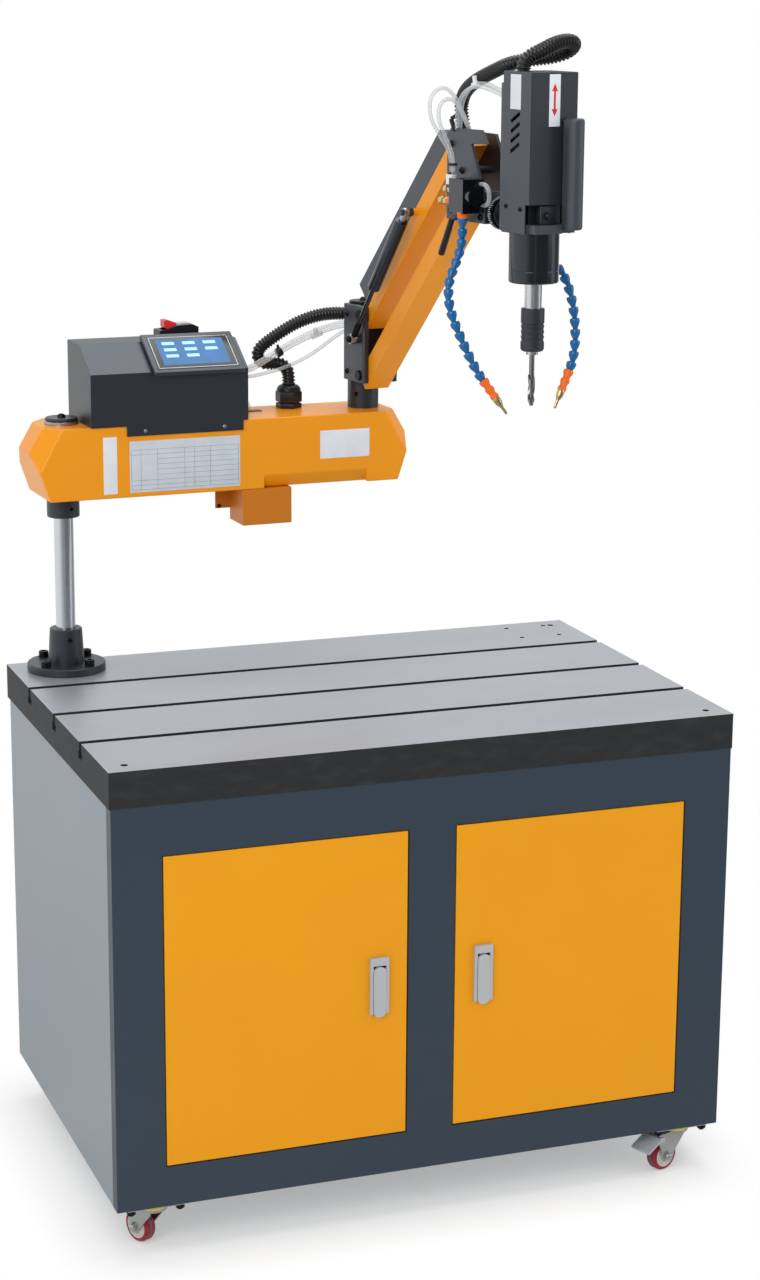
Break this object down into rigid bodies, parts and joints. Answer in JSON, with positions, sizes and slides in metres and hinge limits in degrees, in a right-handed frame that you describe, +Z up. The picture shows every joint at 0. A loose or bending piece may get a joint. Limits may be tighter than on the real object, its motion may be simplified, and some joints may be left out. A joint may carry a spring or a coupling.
{
  "type": "arm tapping machine",
  "caption": "Swing-arm tapping machine on a T-slot table with a two-door cabinet on casters, control panel, gas-balanced parallel arm and tilting powered head.",
  "frame": {"origin": "on the floor, under the middle of the table top", "axes": "+X along the table towards its right side, +Y towards its back, +Z up"},
  "size_m": [1, 0.7082, 1.7917],
  "materials": {
    "ground_iron": "ground",
    "slate_paint": "textured",
    "side_paint": "satin",
    "door_paint": "textured",
    "arm_paint": "satin",
    "black_coat": "textured",
    "grey_coat": "textured",
    "black_iron": "oiled",
    "gloss_black": "gloss",
    "steel": "satin",
    "blackened_steel": "satin",
    "chromed": "polished",
    "satin_chrome": "satin",
    "tool_steel": "ground",
    "aluminium": "satin",
    "zinc": "plated",
    "wheel": "satin",
    "black_plastic": "matte",
    "red_plastic": "gloss",
    "corrugated": "matte",
    "clear_tube": "gloss",
    "blue_hose": "satin"
  },
  "bodies": {
    "frame": {"table_top": "ground_iron", "cabinet_shell": "side_paint", "cabinet_front_frame": "slate_paint", "door_hinge_pins": "steel", "caster_plates": "zinc", "column_flange": "black_iron", "column_bolts": "blackened_steel", "column_shaft": "chromed", "column_collar": "black_iron"},
    "fork_front_left": {"caster_fork_front_left": "zinc"},
    "wheel_front_left": {"caster_wheel_front_left": "wheel"},
    "fork_front_right": {"caster_fork_front_right": "zinc"},
    "wheel_front_right": {"caster_wheel_front_right": "wheel"},
    "fork_rear_left": {"caster_fork_rear_left": "zinc"},
    "wheel_rear_left": {"caster_wheel_rear_left": "wheel"},
    "fork_rear_right": {"caster_fork_rear_right": "zinc"},
    "wheel_rear_right": {"caster_wheel_rear_right": "wheel"},
    "pedal": {"brake_pedal": "zinc"},
    "door_left": {"door_left": "door_paint", "lock_plate_left": "satin_chrome"},
    "latch_left": {"lock_lever_left": "satin_chrome"},
    "door_right": {"door_right": "door_paint", "lock_plate_right": "satin_chrome"},
    "latch_right": {"lock_lever_right": "satin_chrome"},
    "first_arm": {"arm_housing": "arm_paint", "arm_bearings": "steel", "arm_cap": "black_iron", "control_box": "black_coat", "operator_panel": "black_plastic", "switch_box": "black_plastic", "servo_drive": "aluminium", "hose_gland": "black_plastic", "wiring_tray": "arm_paint", "pivot_post": "black_iron", "conduit_lower": "corrugated", "air_tube_lower": "clear_tube"},
    "rocker": {"power_rocker": "red_plastic"},
    "swivel": {"swivel_block": "black_coat", "pivot_bolt": "blackened_steel", "block_pins": "blackened_steel"},
    "lower_link": {"lower_link": "arm_paint"},
    "upper_link": {"upper_link": "arm_paint", "link_cover": "black_coat"},
    "spring_cylinder": {"gas_cylinder": "gloss_black"},
    "spring_rod": {"gas_rod": "steel"},
    "bracket": {"head_bracket": "black_coat", "manifold_block": "black_iron", "conduit_upper": "corrugated", "air_tube_loop": "clear_tube", "coolant_hose_left": "blue_hose", "coolant_hose_right": "blue_hose"},
    "head": {"tilt_disc": "black_iron", "head_frame": "grey_coat", "head_cover": "black_coat", "servo_motor": "black_iron", "gearbox": "gloss_black", "handle_cover": "black_coat"},
    "spindle": {"spindle": "chromed", "tap": "tool_steel"},
    "sleeve": {"chuck_sleeve": "blackened_steel"}
  },
  "joints": [
    {"name": "caster_swivel_front_left", "type": "hinge", "parent": "frame", "child": "fork_front_left", "pos_m": [-0.437, -0.3015, 0.06], "axis": [0, 0, 1], "continuous": true},
    {"name": "wheel_spin_front_left", "type": "hinge", "parent": "fork_front_left", "child": "wheel_front_left", "pos_m": [-0.44799, -0.27794, 0.026], "axis": [-0.9063, -0.4226, 0], "continuous": true},
    {"name": "caster_swivel_front_right", "type": "hinge", "parent": "frame", "child": "fork_front_right", "pos_m": [0.437, -0.3015, 0.06], "axis": [0, 0, 1], "continuous": true},
    {"name": "wheel_spin_front_right", "type": "hinge", "parent": "fork_front_right", "child": "wheel_front_right", "pos_m": [0.41257, -0.31039, 0.026], "axis": [0.342, -0.9397, 0], "continuous": true},
    {"name": "caster_swivel_rear_left", "type": "hinge", "parent": "frame", "child": "fork_rear_left", "pos_m": [-0.437, 0.285, 0.06], "axis": [0, 0, 1], "continuous": true},
    {"name": "wheel_spin_rear_left", "type": "hinge", "parent": "fork_rear_left", "child": "wheel_rear_left", "pos_m": [-0.43027, 0.25989, 0.026], "axis": [0.9659, 0.2588, 0], "continuous": true},
    {"name": "caster_swivel_rear_right", "type": "hinge", "parent": "frame", "child": "fork_rear_right", "pos_m": [0.437, 0.285, 0.06], "axis": [0, 0, 1], "continuous": true},
    {"name": "wheel_spin_rear_right", "type": "hinge", "parent": "fork_rear_right", "child": "wheel_rear_right", "pos_m": [0.424, 0.26248, 0.026], "axis": [0.866, -0.5, 0], "continuous": true},
    {"name": "brake_press", "type": "hinge", "parent": "fork_front_right", "child": "pedal", "pos_m": [0.39941, -0.31518, 0.058], "axis": [0.342, -0.9397, 0], "range_deg": [0, 18], "stiffness_Nm_per_rad": 2, "springref_deg": -5.73},
    {"name": "door_left_hinge", "type": "hinge", "parent": "frame", "child": "door_left", "pos_m": [-0.416, -0.3285, 0.3835], "axis": [0, 0, -1], "range_deg": [0, 105]},
    {"name": "lock_left_lever", "type": "hinge", "parent": "door_left", "child": "latch_left", "pos_m": [-0.085, -0.3355, 0.411], "axis": [-1, 0, 0], "range_deg": [0, 50]},
    {"name": "door_right_hinge", "type": "hinge", "parent": "frame", "child": "door_right", "pos_m": [0.416, -0.3285, 0.3835], "axis": [0, 0, 1], "range_deg": [0, 105]},
    {"name": "lock_right_lever", "type": "hinge", "parent": "door_right", "child": "latch_right", "pos_m": [0.085, -0.3355, 0.411], "axis": [-1, 0, 0], "range_deg": [0, 50]},
    {"name": "arm_swing", "type": "hinge", "parent": "frame", "child": "first_arm", "pos_m": [-0.4129, 0.2735, 1.111], "axis": [0, 0, 1], "continuous": true},
    {"name": "power_rock", "type": "hinge", "parent": "first_arm", "child": "rocker", "pos_m": [-0.20862, 0.31745, 1.3096], "axis": [0.0436, -0.999, 0], "range_deg": [0, 18]},
    {"name": "reach_swivel", "type": "hinge", "parent": "first_arm", "child": "swivel", "pos_m": [0.1118, 0.29641, 1.261], "axis": [0, 0, 1], "range_deg": [-45.5, 214.5], "deforming": ["conduit_lower", "air_tube_lower"]},
    {"name": "reach_lift", "type": "hinge", "parent": "swivel", "child": "lower_link", "pos_m": [0.11823, 0.25066, 1.2288], "axis": [-0.9903, -0.1392, 0], "range_deg": [-70, 17]},
    {"name": "upper_link_turn", "type": "hinge", "parent": "swivel", "child": "upper_link", "pos_m": [0.11823, 0.25066, 1.3288], "axis": [-0.9903, -0.1392, 0], "range_deg": [-71, 18]},
    {"name": "bracket_level", "type": "hinge", "parent": "lower_link", "child": "bracket", "pos_m": [0.15912, -0.04027, 1.52361], "axis": [-0.9903, -0.1392, 0], "range_deg": [-18, 71]},
    {"name": "spring_turn", "type": "hinge", "parent": "upper_link", "child": "spring_cylinder", "pos_m": [0.09932, 0.06909, 1.51084], "axis": [-0.9903, -0.1392, 0], "range_deg": [-8, 8]},
    {"name": "spring_stroke", "type": "slide", "parent": "spring_cylinder", "child": "spring_rod", "axis": [-0.0875, 0.6224, -0.7778], "range_m": [-0.06, 0.02]},
    {"name": "head_tilt", "type": "hinge", "parent": "bracket", "child": "head", "pos_m": [0.17443, -0.14921, 1.525], "axis": [0.1392, -0.9903, 0], "range_deg": [-90, 90], "deforming": ["conduit_upper", "coolant_hose_left", "coolant_hose_right"]},
    {"name": "spindle_spin", "type": "hinge", "parent": "head", "child": "spindle", "pos_m": [0.18716, -0.23982, 1.411], "axis": [0, 0, -1], "continuous": true},
    {"name": "sleeve_lift", "type": "slide", "parent": "spindle", "child": "sleeve", "axis": [0, 0, 1], "range_m": [0, 0.008], "stiffness_N_per_m": 1500, "springref_m": -0.003}
  ],
  "couplings": [
    {"joint": "upper_link_turn", "follows": "reach_lift", "ratio": 1},
    {"joint": "bracket_level", "follows": "reach_lift", "ratio": -1},
    {"joint": "spring_turn", "follows": "reach_lift", "ratio": -0.06617},
    {"joint": "spring_stroke", "follows": "reach_lift", "m_per_rad": 0.032502}
  ]
}
